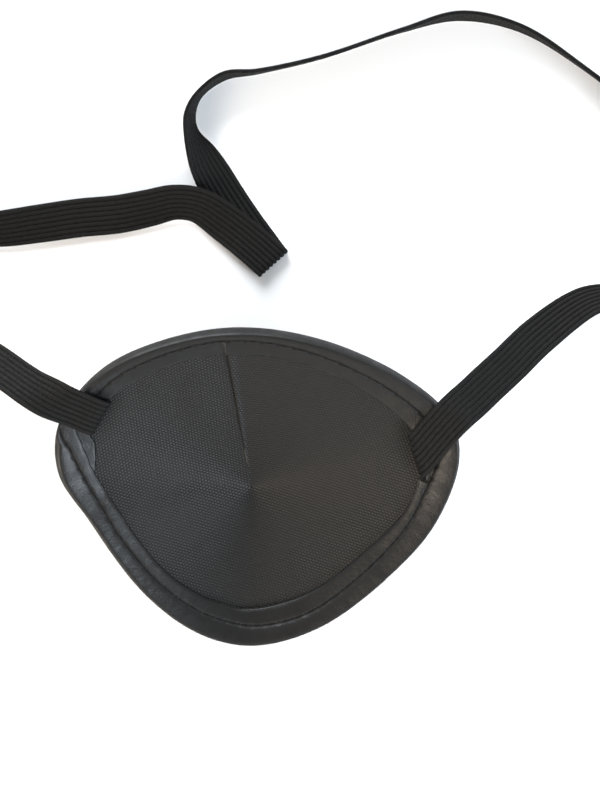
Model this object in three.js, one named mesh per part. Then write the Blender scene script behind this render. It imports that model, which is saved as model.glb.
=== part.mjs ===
// A concave eye patch on an elastic head strap. Millimetres, +Z up.
// The patch is a shallow cone of leather, board and lining, edged with a folded leather tape. It lies on
// a table on its convex side, tipped onto its lower rim. The lining is up and the strap is laid out behind.
// The world origin is under the middle of the patch, on the table.
import * as THREE from 'three';
import { mergeVertices } from 'three/addons/utils/BufferGeometryUtils.js';

// ---- Driving dimensions ----
const CONE_DEPTH = 12; // rim plane to the lining's apex
const REST_TILT = THREE.MathUtils.degToRad(19.7); // the apex and the lower rim both touch the table
const LAYER_GAP = 0.25; // clearance between two layers
const LINING_THICKNESS = 0.4;
const STIFFENER_THICKNESS = 0.8;
const SHELL_THICKNESS = 0.7;
const BINDING_THICKNESS = 0.75;
const BINDING_WIDTH = 7.3; // rim to the tape's inner edge, on both faces
const BINDING_START = 0.022; // share of the outline, past the left shoulder, at which the tape starts
const BINDING_LAP = 0.05; // share of the outline where its start lies over its end
const STITCH_INSET = 3.6; // rim to the stitch line
const CHANNEL_WIDTH = 1.2; // the groove that the stitches pull into the tape
const CHANNEL_DEPTH = 0.5;
const THREAD_DIAMETER = 0.4;
const THREAD_GAP = 0.12; // between the thread and its channel
const STRAP_WIDTH = 8;
const STRAP_THICKNESS = 0.9;
const STRAP_CLEARANCE = 0.3; // between the strap and what it crosses
const SEAM_AZIMUTH = 98; // degrees: the lining's overlapping edge, seen from the apex
const SEAM_OVERLAP = 10; // degrees of lining that lie under that edge
const OUTLINE_STATIONS = 72;

// The patch's outline in its rim plane, about the apex, anticlockwise from the left shoulder.
const OUTLINE_POINTS = [
  [-36.9, 18.5],
  [-37.7, 8.5],
  [-31.9, -2.8],
  [-21.3, -18.7],
  [-10.6, -27.3],
  [0, -30],
  [13.9, -25.9],
  [29.5, -12.6],
  [37.2, -2.2],
  [41.2, 10.5],
  [39.5, 18.5],
  [29.9, 27.3],
  [13.2, 35],
  [-2.1, 37.2],
  [-17, 34.6],
  [-28.9, 28.7],
];

// Where the strap's sewn ends fold out from under the tape and where they cross the rim, in the rim plane.
// foldEdge is the direction of the folded edge, in degrees. stub is what is held stiff past the rim.
const STRAP_ENDS = {
  left: { fold: [-26.9, 18.6], foldEdge: 64, rim: [-35.0, 22.4], stub: 3.2 },
  right: { fold: [31.4, 11.3], foldEdge: 107, rim: [38.3, 19.6], stub: 1.7 },
};

// The strap's centreline in the world frame: x, y, z, and the lean of its width, 0 flat to 90 on edge.
// The left run goes from the patch, round a loop, to the crease. It lies on the right run there.
const LEFT_ROUTE = [
  [-40.0, 18.2, 24.3, 0],
  [-43.6, 20.2, 23.2, 3],
  [-47.2, 22.5, 21.0, 8],
  [-51.6, 25.3, 17.8, 15],
  [-60.0, 30.1, 11.6, 28],
  [-68.6, 36.5, 6.4, 66],
  [-72.9, 43.2, 4.3, 88],
  [-70.5, 49.3, 4.1, 80],
  [-62.9, 52.2, 3.5, 50],
  [-52.8, 52.7, 2.6, 30],
  [-44.8, 53.8, 2.2, 20],
  [-36.6, 55.0, 1.9, 16],
  [-28.5, 55.8, 1.8, 14],
  [-22.3, 57.0, 2.3, 10],
  [-17.0, 58.1, 3.0, 4],
  [-12.1, 57.4, 3.1, 0],
  [-7.0, 54.1, 2.3, 0],
  [-0.9, 49.2, 2.1, 0],
  [2.7, 46.0, 2.1, 0],
];

// The right run goes from the crease, round the back and the right loop, to the patch.
const RIGHT_ROUTE = [
  [2.6, 46.1, 0.6, 0],
  [-3.4, 54.3, 0.6, 0],
  [-7.7, 60.8, 0.8, 2],
  [-11.4, 67.3, 2.9, 37],
  [-13.5, 71.8, 4.0, 70],
  [-13.9, 75.7, 4.1, 80],
  [-12.2, 79.7, 4.1, 90],
  [-7.0, 83.6, 4.1, 90],
  [-0.3, 84.5, 4.1, 96],
  [12.9, 87.5, 4.1, 98],
  [29.1, 92.9, 4.1, 97],
  [40.7, 95.8, 4.1, 90],
  [52.9, 93.4, 4.1, 94],
  [65.0, 86.0, 4.1, 100],
  [77.2, 75.7, 4.1, 100],
  [82.9, 65.5, 4.1, 97],
  [83.7, 55.4, 4.1, 92],
  [80.2, 45.8, 4.2, 80],
  [74.1, 40.3, 4.3, 60],
  [65.9, 37.6, 5.6, 38],
  [56.3, 30.9, 9.6, 16],
  [49.9, 25.1, 14.0, 4],
  [44.2, 20.2, 19.0, 0],
  [40.9, 17.3, 22.0, 0],
  [39.1, 16.0, 22.9, 0],
];
const LEFT_STEPS = 30;
const RIGHT_STEPS = 50;

// ---- Layer heights, along the cone's axis, from the lining's face ----
const LINING_BOTTOM = -LINING_THICKNESS;
const STIFFENER_TOP = LINING_BOTTOM - LAYER_GAP;
const STIFFENER_BOTTOM = STIFFENER_TOP - STIFFENER_THICKNESS;
const SHELL_TOP = STIFFENER_BOTTOM - LAYER_GAP;
const SHELL_BOTTOM = SHELL_TOP - SHELL_THICKNESS;
const BINDING_TOP = LAYER_GAP + BINDING_THICKNESS;
const BINDING_BOTTOM = SHELL_BOTTOM - LAYER_GAP - BINDING_THICKNESS;

// ---- Materials ----
function material(color, roughness) {
  return new THREE.MeshStandardMaterial({ color, roughness, metalness: 0 });
}

const materials = {
  leather: material(0x2a2b2d, 0.45),
  board: material(0x3a3a3c, 0.9),
  lining: material(0x232426, 0.7),
  thread: material(0x0f0f10, 0.6),
  elastic: material(0x141415, 0.85),
};

// ---- Solids from rings of points ----
const SAME_POINT = 1e-4;

// A closed solid from points and triangles, welded, without empty triangles, with its faces outwards.
function solid(points, triangles) {
  const geometry = new THREE.BufferGeometry().setFromPoints(points);
  geometry.setIndex(triangles.flat());
  const welded = mergeVertices(geometry, SAME_POINT);
  const position = welded.getAttribute('position');
  const corners = [new THREE.Vector3(), new THREE.Vector3(), new THREE.Vector3()];
  const kept = [];
  let volume = 0;
  for (let i = 0; i < welded.index.count; i += 3) {
    const triangle = [0, 1, 2].map((k) => welded.index.getX(i + k));
    if (new Set(triangle).size < 3) continue;
    kept.push(...triangle);
    triangle.forEach((vertex, k) => corners[k].fromBufferAttribute(position, vertex));
    volume += corners[0].dot(corners[1].cross(corners[2]));
  }
  welded.setIndex(volume > 0 ? kept : kept.reverse());
  welded.computeVertexNormals();
  return welded;
}

// The triangles that fill a section's outline, each turned the way the outline runs.
function fill(section) {
  const contour = section.map(([x, y]) => new THREE.Vector2(x, y));
  const turn = Math.sign(THREE.ShapeUtils.area(contour));
  return THREE.ShapeUtils.triangulateShape(contour, []).map((triangle) => {
    const area = THREE.ShapeUtils.area(triangle.map((k) => contour[k]));
    return area * turn > 0 ? triangle : [...triangle].reverse();
  });
}

// A solid through rings of points, one ring for each place that the section takes.
function loft(rings, section, closed) {
  const sides = section.length;
  const steps = closed ? rings.length : rings.length - 1;
  const triangles = [];
  for (let i = 0; i < steps; i += 1) {
    const here = i * sides;
    const next = ((i + 1) % rings.length) * sides;
    for (let k = 0; k < sides; k += 1) {
      const side = (k + 1) % sides;
      triangles.push([here + k, here + side, next + side], [here + k, next + side, next + k]);
    }
  }
  if (!closed) {
    const last = (rings.length - 1) * sides;
    for (const [a, b, c] of fill(section)) {
      triangles.push([c, b, a], [last + a, last + b, last + c]);
    }
  }
  return solid(rings.flat(), triangles);
}

// ---- The cone ----
const outline = new THREE.CatmullRomCurve3(
  OUTLINE_POINTS.map(([x, y]) => new THREE.Vector3(x, y, 0)),
  true,
  'centripetal',
);
const FINE_STEPS = 1440;
const fineOutline = outline.getSpacedPoints(FINE_STEPS);

// The share of the way round the outline at which it lies in the direction (x, y), and its distance there.
function rimTowards(x, y) {
  for (let i = 0; i < FINE_STEPS; i += 1) {
    const from = fineOutline[i];
    const to = fineOutline[i + 1];
    const before = from.x * y - from.y * x;
    const after = to.x * y - to.y * x;
    if (before >= 0 && after < 0) {
      const part = before / (before - after);
      const distance = from.clone().lerp(to, part).length();
      return { share: (i + part) / FINE_STEPS, distance };
    }
  }
  return { share: 0, distance: Infinity };
}

function shareAtAzimuth(degrees) {
  const angle = THREE.MathUtils.degToRad(degrees);
  return rimTowards(Math.cos(angle), Math.sin(angle)).share;
}

// The point over (x, y) that is lift above the lining's face.
function onCone(x, y, lift) {
  const reach = Math.hypot(x, y) / rimTowards(x, y).distance;
  return new THREE.Vector3(x, y, CONE_DEPTH * (reach - 1) + lift);
}

// One ring round the rim: a section point is a distance in from the rim and a lift off the lining's face.
function rimRing(share, section) {
  const u = share - Math.floor(share);
  const point = outline.getPointAt(u);
  const tangent = outline.getTangentAt(u);
  const inward = { x: -tangent.y, y: tangent.x };
  return section.map(([inset, lift]) => (
    onCone(point.x + inward.x * inset, point.y + inward.y * inset, lift)
  ));
}

// One ring along a line from the apex: a section point is a share of the way to the rim and a lift.
function rulingRing(share, section) {
  const point = outline.getPointAt(share - Math.floor(share));
  return section.map(([reach, lift]) => new THREE.Vector3(
    point.x * reach,
    point.y * reach,
    CONE_DEPTH * (reach - 1) + lift,
  ));
}

// The shares between two places on the outline, about one to a station.
function sharesBetween(first, last) {
  const steps = Math.round((last - first) * OUTLINE_STATIONS);
  return Array.from({ length: steps + 1 }, (_, i) => first + ((last - first) * i) / steps);
}

const ALL_ROUND = sharesBetween(0, 1).slice(0, -1);
const LAYER_REACH = 0.96; // how near to the rim the layers come inside the tape
const DART_REACH = 0.05; // how near to the apex a layer with a dart comes

// ---- The shell: one piece of leather, formed to a closed cone ----
function outerShell() {
  const section = [
    [0, SHELL_TOP],
    [LAYER_REACH, SHELL_TOP],
    [LAYER_REACH, SHELL_BOTTOM],
    [0, SHELL_BOTTOM],
  ];
  return loft(ALL_ROUND.map((share) => rulingRing(share, section)), section, true);
}

// ---- The stiffener: board with an open dart, so that the lining's overlap has room ----
const DART_FIRST = SEAM_AZIMUTH + 8;
const DART_LAST = SEAM_AZIMUTH - SEAM_OVERLAP - 4;

function stiffener() {
  const section = [
    [DART_REACH, STIFFENER_TOP],
    [LAYER_REACH, STIFFENER_TOP],
    [LAYER_REACH, STIFFENER_BOTTOM],
    [DART_REACH, STIFFENER_BOTTOM],
  ];
  const first = shareAtAzimuth(DART_FIRST) - 1;
  const last = shareAtAzimuth(DART_LAST);
  return loft(sharesBetween(first, last).map((share) => rulingRing(share, section)), section, false);
}

// ---- The lining: a sheet rolled into a cone, one straight edge lapped over the other ----
const LAP_DIP = LINING_THICKNESS + LAYER_GAP;
const DIP_ENDS = 6; // degrees past the upper edge at which the lower one is back in line

function lining() {
  const first = shareAtAzimuth(SEAM_AZIMUTH - SEAM_OVERLAP) - 1;
  const last = shareAtAzimuth(SEAM_AZIMUTH);
  const covered = shareAtAzimuth(SEAM_AZIMUTH + 1) - 1;
  const level = shareAtAzimuth(SEAM_AZIMUTH + DIP_ENDS) - 1;
  const rings = [...sharesBetween(first, covered), ...sharesBetween(level, last)].map((share) => {
    const dip = share <= covered ? LAP_DIP : 0;
    return rulingRing(share, liningSection(dip));
  });
  return loft(rings, liningSection(0), false);
}

function liningSection(dip) {
  return [
    [DART_REACH, -dip],
    [LAYER_REACH, -dip],
    [LAYER_REACH, LINING_BOTTOM - dip],
    [DART_REACH, LINING_BOTTOM - dip],
  ];
}

// ---- The binding: a leather tape folded over the edge, lapped over its own end at the left shoulder ----
const LAP_RAISE = BINDING_THICKNESS + LAYER_GAP;
const STATION = 1 / OUTLINE_STATIONS;
const LAP_ENDS = BINDING_START + BINDING_LAP; // share at which the tape's end stops, under its own start
const LEVEL_FROM = LAP_ENDS + 1.5 * STATION; // the tape has come down beside its end by here
const FOLD_RADIUS = 1;
const FOLD_BULGE = 0.3; // how far the fold's rounding reaches in from the rim and down from each face

// Half of the tape's section, from its inner edge over its face to the fold, then back inside.
// side is 1 on the lining's face and -1 on the shell's.
function bindingHalf(side, face, raise) {
  const outside = face + side * raise;
  const inside = outside - side * BINDING_THICKNESS;
  const channel = outside - side * CHANNEL_DEPTH;
  return {
    over: [
      [BINDING_WIDTH, outside],
      [STITCH_INSET + CHANNEL_WIDTH / 2, outside],
      [STITCH_INSET + CHANNEL_WIDTH / 4, channel],
      [STITCH_INSET - CHANNEL_WIDTH / 4, channel],
      [STITCH_INSET - CHANNEL_WIDTH / 2, outside],
      [FOLD_RADIUS, outside],
    ],
    under: [[BINDING_THICKNESS - raise, inside], [BINDING_WIDTH, inside]],
  };
}

function bindingSection(raise) {
  const face = bindingHalf(1, BINDING_TOP, raise);
  const back = bindingHalf(-1, BINDING_BOTTOM, raise);
  const middle = (BINDING_TOP + BINDING_BOTTOM) / 2;
  const top = BINDING_TOP + raise;
  const bottom = BINDING_BOTTOM - raise;
  const fold = [
    [FOLD_BULGE - raise, top - FOLD_BULGE],
    [-raise, middle],
    [FOLD_BULGE - raise, bottom + FOLD_BULGE],
  ];
  return [...face.over, ...fold, ...back.over.reverse(), ...back.under.reverse(), ...face.under];
}

function binding() {
  const over = sharesBetween(BINDING_START, LAP_ENDS + 0.5 * STATION);
  const round = sharesBetween(LEVEL_FROM, 1 + LAP_ENDS);
  const rings = [...over, ...round].map((share) => {
    const raise = share < LEVEL_FROM ? LAP_RAISE : 0;
    return rimRing(share, bindingSection(raise));
  });
  return loft(rings, bindingSection(0), false);
}

// ---- The stitching: the needle's thread on the face and the bobbin's on the back, each in its channel ----
const THREAD_SIDES = 6;

function threadSection(face, side) {
  const centre = face - side * (CHANNEL_DEPTH - THREAD_GAP - THREAD_DIAMETER / 2);
  return Array.from({ length: THREAD_SIDES }, (_, i) => {
    const angle = (i * 2 * Math.PI) / THREAD_SIDES;
    return [
      STITCH_INSET + (Math.cos(angle) * THREAD_DIAMETER) / 2,
      centre + (Math.sin(angle) * THREAD_DIAMETER) / 2,
    ];
  });
}

// The seam starts and ends beside the tape's lap.
function thread(face, side) {
  const section = threadSection(face, side);
  const first = LEVEL_FROM + STATION;
  const last = 1;
  return loft(sharesBetween(first, last).map((share) => rimRing(share, section)), section, false);
}

// ---- The strap: flat braided elastic ----
const EDGE_CHAMFER = 0.2;

// The elastic's section, a flat bar with chamfered edges: across its width, then through its thickness.
const EDGE = STRAP_WIDTH / 2;
const FACE = STRAP_THICKNESS / 2;
const STRAP_SECTION = [
  [EDGE - EDGE_CHAMFER, -FACE],
  [EDGE, EDGE_CHAMFER - FACE],
  [EDGE, FACE - EDGE_CHAMFER],
  [EDGE - EDGE_CHAMFER, FACE],
  [EDGE_CHAMFER - EDGE, FACE],
  [-EDGE, FACE - EDGE_CHAMFER],
  [-EDGE, EDGE_CHAMFER - FACE],
  [EDGE_CHAMFER - EDGE, -FACE],
];

// Elastic along stations that each have a centre point and the direction of the width there.
function ribbon(stations) {
  const rings = stations.map(({ point, width }, i) => {
    const before = stations[Math.max(i - 1, 0)].point;
    const after = stations[Math.min(i + 1, stations.length - 1)].point;
    const along = after.clone().sub(before).normalize();
    const across = width.clone().addScaledVector(along, -width.dot(along)).normalize();
    const through = along.clone().cross(across);
    return STRAP_SECTION.map(([wide, deep]) => (
      point.clone().addScaledVector(across, wide).addScaledVector(through, deep)
    ));
  });
  return loft(rings, STRAP_SECTION, false);
}

// A sewn end: it comes out from under the tape, folds back on itself and crosses the tape to the rim.
const END_LOW = STRAP_CLEARANCE + STRAP_THICKNESS / 2;
const END_HIGH = BINDING_TOP + 2 * STRAP_CLEARANCE + STRAP_THICKNESS / 2;
const FOLD_STEPS = 5;
const CROSSING_STEPS = 6;
const TURN_BY = 0.67; // share of the crossing in which the width turns from the fold's edge to square

function strapEnd({ fold, foldEdge, rim, stub }) {
  const edgeAngle = THREE.MathUtils.degToRad(foldEdge);
  const folded = new THREE.Vector3(Math.cos(edgeAngle), Math.sin(edgeAngle), 0);
  const run = new THREE.Vector3(rim[0] - fold[0], rim[1] - fold[1], 0);
  const length = run.length() + stub;
  run.normalize();
  const across = new THREE.Vector3(-run.y, run.x, 0);
  if (across.dot(folded) < 0) across.negate();
  const out = new THREE.Vector3(folded.y, -folded.x, 0);
  if (out.dot(run) < 0) out.negate();
  const radius = (END_HIGH - END_LOW) / 2;
  const stations = [];
  for (let i = 0; i <= FOLD_STEPS; i += 1) {
    const turn = Math.PI * (i / FOLD_STEPS - 0.5);
    const x = fold[0] - out.x * radius * Math.cos(turn);
    const y = fold[1] - out.y * radius * Math.cos(turn);
    stations.push({ point: onCone(x, y, END_LOW + radius * (1 + Math.sin(turn))), width: folded.clone() });
  }
  for (let i = 1; i <= CROSSING_STEPS; i += 1) {
    const part = i / CROSSING_STEPS;
    const x = fold[0] + run.x * length * part;
    const y = fold[1] + run.y * length * part;
    const width = folded.clone().lerp(across, Math.min(1, part / TURN_BY)).normalize();
    stations.push({ point: onCone(x, y, END_HIGH), width });
  }
  return ribbon(stations);
}

// A free run, along a route of hand-laid points that each have a lean.
function strapRun(route, steps) {
  const curve = new THREE.CatmullRomCurve3(route.map(([x, y, z]) => new THREE.Vector3(x, y, z)));
  const leans = new THREE.CatmullRomCurve3(route.map((entry) => new THREE.Vector3(entry[3], 0, 0)));
  const stations = [];
  for (let i = 0; i <= steps; i += 1) {
    const t = curve.getUtoTmapping(i / steps);
    const tangent = curve.getTangent(t);
    const lean = THREE.MathUtils.degToRad(leans.getPoint(t).x);
    const level = new THREE.Vector3(-tangent.y, tangent.x, 0).normalize().multiplyScalar(Math.cos(lean));
    stations.push({ point: curve.getPoint(t), width: level.setZ(Math.sin(lean)) });
  }
  return ribbon(stations);
}

// ---- Assembly ----
function piece(name, geometry, look) {
  const mesh = new THREE.Mesh(geometry, look);
  mesh.name = name;
  return mesh;
}

const patch = new THREE.Group();
patch.add(
  piece('outer_shell', outerShell(), materials.leather),
  piece('stiffener', stiffener(), materials.board),
  piece('lining', lining(), materials.lining),
  piece('binding', binding(), materials.leather),
  piece('needle_thread', thread(BINDING_TOP, 1), materials.thread),
  piece('bobbin_thread', thread(BINDING_BOTTOM, -1), materials.thread),
  piece('strap_end_left', strapEnd(STRAP_ENDS.left), materials.elastic),
  piece('strap_end_right', strapEnd(STRAP_ENDS.right), materials.elastic),
);
patch.rotation.x = REST_TILT;
patch.updateMatrixWorld(true);

// The patch stands on the table with the origin under its middle.
const extent = new THREE.Box3().setFromObject(patch, true);
const middle = extent.getCenter(new THREE.Vector3());
patch.position.set(-middle.x, -middle.y, -extent.min.z);

const eyePatch = new THREE.Group();
eyePatch.add(
  patch,
  piece('strap_left_run', strapRun(LEFT_ROUTE, LEFT_STEPS), materials.elastic),
  piece('strap_right_run', strapRun(RIGHT_ROUTE, RIGHT_STEPS), materials.elastic),
);

export default eyePatch;
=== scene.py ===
import math

import bpy
import numpy as np
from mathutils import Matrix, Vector, noise


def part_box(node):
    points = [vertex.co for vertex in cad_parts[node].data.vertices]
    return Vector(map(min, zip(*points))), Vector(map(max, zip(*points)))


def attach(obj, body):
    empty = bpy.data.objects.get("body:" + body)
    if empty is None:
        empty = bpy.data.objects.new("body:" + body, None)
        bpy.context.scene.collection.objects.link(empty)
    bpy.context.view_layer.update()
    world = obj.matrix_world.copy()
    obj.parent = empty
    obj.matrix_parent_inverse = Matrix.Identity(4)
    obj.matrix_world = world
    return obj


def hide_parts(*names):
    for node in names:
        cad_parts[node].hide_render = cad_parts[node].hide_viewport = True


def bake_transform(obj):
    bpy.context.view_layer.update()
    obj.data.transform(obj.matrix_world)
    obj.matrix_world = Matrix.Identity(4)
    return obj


# A concave eye patch on an elastic strap, lying on a table with its lining up.
# Shapes are worked out in millimetres, the patch's own in its rim plane about the apex, and become metres
# when a mesh is made.
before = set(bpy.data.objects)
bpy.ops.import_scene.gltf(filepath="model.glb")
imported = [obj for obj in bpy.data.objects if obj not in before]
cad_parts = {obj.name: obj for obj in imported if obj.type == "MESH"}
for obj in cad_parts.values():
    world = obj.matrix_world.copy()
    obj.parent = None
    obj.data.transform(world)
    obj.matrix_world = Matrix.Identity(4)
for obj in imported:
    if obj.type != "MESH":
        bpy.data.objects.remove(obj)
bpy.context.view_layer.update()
MM = 0.001

# ---- Driving dimensions, as in the CAD model ----
CONE_DEPTH = 12.0
REST_TILT = math.radians(19.7)
LAYER_REACH = 0.96  # share of the way from the apex to the rim at which the layers end inside the tape
LINING_THICKNESS = 0.4
SHELL_TOP = -1.7  # lifts are measured along the cone's axis from the lining's face
SHELL_BOTTOM = -2.4
TAPE_TOP = 1.0
TAPE_BOTTOM = -3.4
TAPE_THICKNESS = 0.75
STRAP_WIDTH = 8.0
STRAP_THICKNESS = 0.86
SEAM_AZIMUTH = 98.0  # degrees: the edge of the lining that lies on top

OUTLINE_POINTS = [
    (-36.9, 18.5), (-37.7, 8.5), (-31.9, -2.8), (-21.3, -18.7), (-10.6, -27.3), (0.0, -30.0),
    (13.9, -25.9), (29.5, -12.6), (37.2, -2.2), (41.2, 10.5), (39.5, 18.5), (29.9, 27.3), (13.2, 35.0),
    (-2.1, 37.2), (-17.0, 34.6), (-28.9, 28.7),
]
STRAP_ENDS = {
    "left": {
        "fold": (-26.9, 18.6), "fold_edge": 61, "rim": (-35.0, 22.6), "stub": 3.2,
        "tight_fold": (-29.9, 19.8),
    },
    "right": {
        "fold": (31.4, 11.3), "fold_edge": 108, "rim": (38.3, 19.3), "stub": 1.7,
        "tight_fold": (33.3, 12.1),
    },
}

# The strap's free route over the table: x, y, z and the lean of its width, 0 flat to 90 on edge.
LEFT_ROUTE = [
    (-40.0, 18.2, 24.3, 10), (-43.6, 20.2, 23.2, 24), (-47.2, 22.5, 21.0, 30), (-51.6, 25.3, 17.8, 30),
    (-60.0, 30.1, 11.6, 28), (-68.6, 36.5, 6.4, 66), (-72.9, 43.2, 4.3, 88), (-70.5, 49.3, 4.1, 80),
    (-62.9, 52.2, 3.5, 50), (-52.8, 52.7, 2.6, 30), (-44.8, 53.8, 2.2, 20), (-36.6, 55.0, 1.9, 16),
    (-28.5, 55.8, 1.8, 18), (-22.3, 57.0, 2.3, 26), (-17.0, 58.1, 3.0, 34), (-12.1, 57.4, 3.1, 30),
    (-7.0, 54.1, 2.3, 12), (-0.9, 49.2, 2.1, 0), (2.7, 46.0, 2.1, 0),
]
RIGHT_ROUTE = [
    (2.6, 46.1, 0.6, 0), (-3.4, 54.3, 0.6, 0), (-7.7, 60.8, 0.8, 2), (-11.4, 67.3, 2.9, 37),
    (-13.5, 71.8, 4.0, 70), (-13.9, 75.7, 4.1, 80), (-12.2, 79.7, 4.1, 90), (-7.0, 83.6, 4.1, 90),
    (-0.3, 84.5, 4.1, 96), (12.9, 87.5, 4.1, 98), (29.1, 92.9, 4.1, 97), (40.7, 95.8, 4.1, 90),
    (52.9, 93.4, 4.1, 94), (65.0, 86.0, 4.1, 100), (77.2, 75.7, 4.1, 100), (82.9, 65.5, 4.1, 97),
    (83.7, 55.4, 4.1, 92), (80.2, 45.8, 4.2, 80), (74.1, 40.3, 4.3, 60), (65.9, 37.6, 5.6, 38),
    (56.3, 30.9, 9.6, 16), (49.9, 25.1, 14.0, 4), (44.2, 20.2, 19.0, 0), (40.9, 17.3, 22.0, 0),
    (39.1, 16.0, 22.9, 0),
]
CREASE_EDGE = (0.76, 0.65, 0.0)  # the way the crease's edge runs; the strap turns under it
CREASE_RADIUS = 0.75
CREASE_FLATNESS = 0.4  # how far its turn reaches out, as a share of that radius


# ---- Curves ----
def smoothstep(low, high, value):
    t = np.clip((np.asarray(value, float) - low) / (high - low), 0, 1)
    return t * t * (3 - 2 * t)


def unit(vectors):
    vectors = np.asarray(vectors, float)
    return vectors / np.maximum(np.linalg.norm(vectors, axis=-1, keepdims=True), 1e-12)


def catmull_rom(points, per_span, place, closed=False):
    """Points along a centripetal Catmull-Rom curve.

    The first place columns are where each point is. The others are carried along.
    """
    p = np.asarray(points, float)
    p = np.concatenate([p[-1:], p, p[:2]] if closed else [[2 * p[0] - p[1]], p, [2 * p[-1] - p[-2]]])
    spans = []
    for a, b, c, d in zip(p, p[1:], p[2:], p[3:]):
        knots = [0.0]
        for first, second in ((a, b), (b, c), (c, d)):
            knots.append(knots[-1] + math.sqrt(max(np.linalg.norm((second - first)[:place]), 1e-6)))
        t0, t1, t2, t3 = knots
        t = np.linspace(t1, t2, per_span, endpoint=False)[:, None]
        ab = (a * (t1 - t) + b * (t - t0)) / (t1 - t0)
        bc = (b * (t2 - t) + c * (t - t1)) / (t2 - t1)
        cd = (c * (t3 - t) + d * (t - t2)) / (t3 - t2)
        abc = (ab * (t2 - t) + bc * (t - t0)) / (t2 - t0)
        bcd = (bc * (t3 - t) + cd * (t - t1)) / (t3 - t1)
        spans.append((abc * (t2 - t) + bcd * (t - t1)) / (t2 - t1))
    return np.concatenate([*spans, p[-2:-1]])


def distances(points):
    """How far along the line each point is."""
    return np.concatenate([[0], np.cumsum(np.linalg.norm(np.diff(points, axis=0), axis=1))])


def resample(points, step, place=3):
    """The same line with even steps of about the given length."""
    along = distances(points[:, :place])
    even = np.linspace(0, along[-1], round(along[-1] / step) + 1)
    return np.column_stack([np.interp(even, along, column) for column in points.T])


# ---- The cone under every layer of the patch ----
outline_line = catmull_rom(OUTLINE_POINTS, 120, 2, closed=True)
outline_share = distances(outline_line)
PERIMETER = outline_share[-1]
outline_share = outline_share / PERIMETER
rim_azimuth = np.unwrap(np.arctan2(outline_line[:, 1], outline_line[:, 0]))
rim_distance = np.linalg.norm(outline_line, axis=1)
FULL_TURN = 2 * math.pi


def rim_point(share):
    return np.column_stack([np.interp(np.mod(share, 1), outline_share, c) for c in outline_line.T])


def rim_inward(share):
    tangent = unit(rim_point(share + 0.0015) - rim_point(share - 0.0015))
    return np.column_stack([-tangent[:, 1], tangent[:, 0]])


def rim_distance_at(azimuth):
    azimuth = rim_azimuth[0] + np.mod(azimuth - rim_azimuth[0], FULL_TURN)
    return np.interp(azimuth, rim_azimuth, rim_distance)


def rim_reach(xy):
    """How far out a place is, 0 at the apex and 1 at the rim."""
    azimuth = np.arctan2(xy[..., 1], xy[..., 0])
    return np.linalg.norm(xy, axis=-1) / rim_distance_at(azimuth)


def on_cone(xy, lift):
    return np.concatenate([xy, (CONE_DEPTH * (rim_reach(xy) - 1) + lift)[..., None]], axis=-1)


def tilted(points):
    x, y, z = np.moveaxis(points, -1, 0)
    cosine, sine = math.cos(REST_TILT), math.sin(REST_TILT)
    return np.stack([x, y * cosine - z * sine, y * sine + z * cosine], axis=-1)


def patch_origin():
    """Where the patch's own origin is on the table: the shell's box is the CAD shell's box there."""
    edge = outline_line * LAYER_REACH
    rims = [on_cone(edge, np.full(len(edge), lift)) for lift in (SHELL_TOP, SHELL_BOTTOM)]
    tips = np.array([[0, 0, SHELL_TOP - CONE_DEPTH], [0, 0, SHELL_BOTTOM - CONE_DEPTH]])
    corners = tilted(np.concatenate([*rims, tips]))
    low, high = (np.array(corner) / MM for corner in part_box("outer_shell"))
    return (low + high) / 2 - (corners.min(0) + corners.max(0)) / 2


PATCH_ORIGIN = patch_origin()


def to_world(points):
    return tilted(points) + PATCH_ORIGIN


# ---- Meshes ----
def new_object(name, points, faces, look, smooth=True):
    mesh = bpy.data.meshes.new(name)
    mesh.from_pydata((np.asarray(points) * MM).tolist(), [], faces)
    mesh.validate()
    mesh.polygons.foreach_set("use_smooth", [smooth] * len(mesh.polygons))
    mesh.materials.append(look)
    made = bpy.data.objects.new(name, mesh)
    bpy.context.scene.collection.objects.link(made)
    return made


def set_attribute(piece, name, values):
    values = np.asarray(values, np.float32)
    kind, key = ("FLOAT", "value") if values.ndim == 1 else ("FLOAT_VECTOR", "vector")
    piece.data.attributes.new(name, kind, "POINT").data.foreach_set(key, values.ravel())


def tube_faces(rings, sides, closed=False, start=0):
    """Quads between rings of points, and a cap on each end if the row of rings is open."""
    faces = []
    for i in range(rings if closed else rings - 1):
        here, following = start + i * sides, start + ((i + 1) % rings) * sides
        for k in range(sides):
            side = (k + 1) % sides
            faces.append((here + k, here + side, following + side, following + k))
    if not closed:
        last = start + (rings - 1) * sides
        faces.append(tuple(start + k for k in reversed(range(sides))))
        faces.append(tuple(last + k for k in range(sides)))
    return faces


def rumple(points, size, seed):
    """Smooth noise from -1 to 1 at each point, with lumps of about the given size in millimetres."""
    shift = Vector((seed * 17.3, seed * 5.1, seed * 9.7))
    return np.array([noise.noise(Vector(p) / size + shift) for p in np.asarray(points).reshape(-1, 3)])


# ---- Camera: straight down over the table ----
VIEW_HEIGHT = 420.0
VIEW_CENTRE = (8.4, 17.9)
LENS = 92.3
SENSOR_WIDTH = 36


def add_camera():
    data = bpy.data.cameras.new("camera")
    data.lens = LENS
    data.sensor_width = SENSOR_WIDTH
    camera = bpy.data.objects.new("camera", data)
    camera.location = Vector((*VIEW_CENTRE, VIEW_HEIGHT)) * MM
    bpy.context.scene.collection.objects.link(camera)
    bpy.context.scene.camera = camera


add_camera()


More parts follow.
